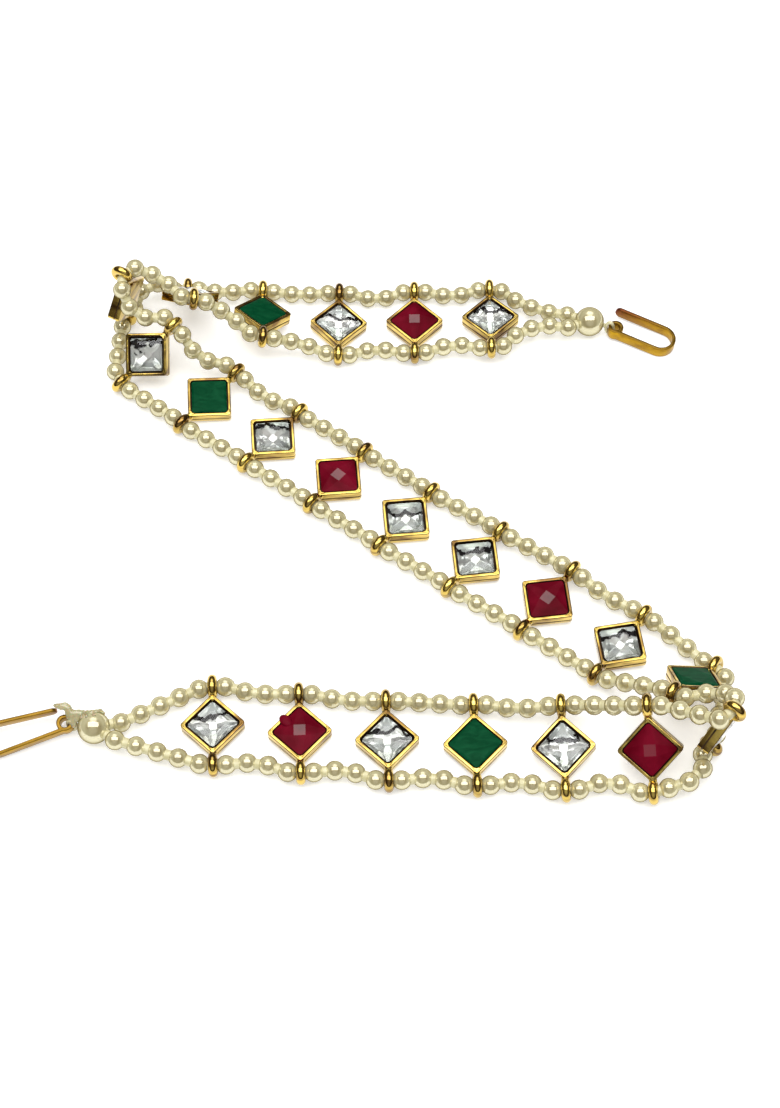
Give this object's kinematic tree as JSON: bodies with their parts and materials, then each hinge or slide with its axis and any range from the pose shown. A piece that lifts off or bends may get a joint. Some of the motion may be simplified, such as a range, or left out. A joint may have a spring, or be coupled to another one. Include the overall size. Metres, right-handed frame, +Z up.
{
  "type": "matha patti",
  "caption": "Forehead band of two parallel strings of pearl beads joined by square cut stones in gold boxes, with a flat wire hair hook at each end, lying folded in three runs.",
  "frame": {"origin": "middle of the lying band's outline, at the surface on which it lies", "axes": "+Z up from the surface, +X to the right along the runs, +Y from the lower run to the upper run"},
  "size_m": [0.137, 0.1178, 0.0201],
  "materials": {
    "gold": "polished gold plate",
    "crystal": "cut, foiled with silver behind",
    "ruby": "cut, foiled",
    "emerald": "cut, foiled",
    "pearl": "pearl coating",
    "thread": "waxed",
    "hook_brass": "bare wire, reddish at the tip",
    "glue": "dried clear glue"
  },
  "bodies": {
    "root": {"setting_01": "gold", "setting_02": "gold", "setting_03": "gold", "setting_04": "gold", "setting_05": "gold", "setting_06": "gold", "setting_07": "gold", "setting_08": "gold", "setting_09": "gold", "setting_10": "gold", "setting_11": "gold", "setting_12": "gold", "setting_13": "gold", "setting_14": "gold", "setting_15": "gold", "setting_16": "gold", "setting_17": "gold", "setting_18": "gold", "setting_19": "gold", "setting_20": "gold", "setting_21": "gold", "setting_22": "gold", "stone_01": "crystal", "stone_02": "ruby", "stone_03": "crystal", "stone_04": "emerald", "stone_05": "crystal", "stone_06": "ruby", "stone_07": "crystal", "stone_08": "emerald", "stone_09": "crystal", "stone_10": "ruby", "stone_11": "crystal", "stone_12": "crystal", "stone_13": "ruby", "stone_14": "crystal", "stone_15": "emerald", "stone_16": "crystal", "stone_17": "ruby", "stone_18": "crystal", "stone_19": "emerald", "stone_20": "crystal", "stone_21": "ruby", "stone_22": "crystal", "bead_string_lower": "pearl", "bead_string_upper": "pearl", "end_pearl_left": "pearl", "end_pearl_right": "pearl", "thread": "thread", "hook_left": "hook_brass", "hook_right": "hook_brass", "glue_skin": "glue"}
  },
  "joints": []
}
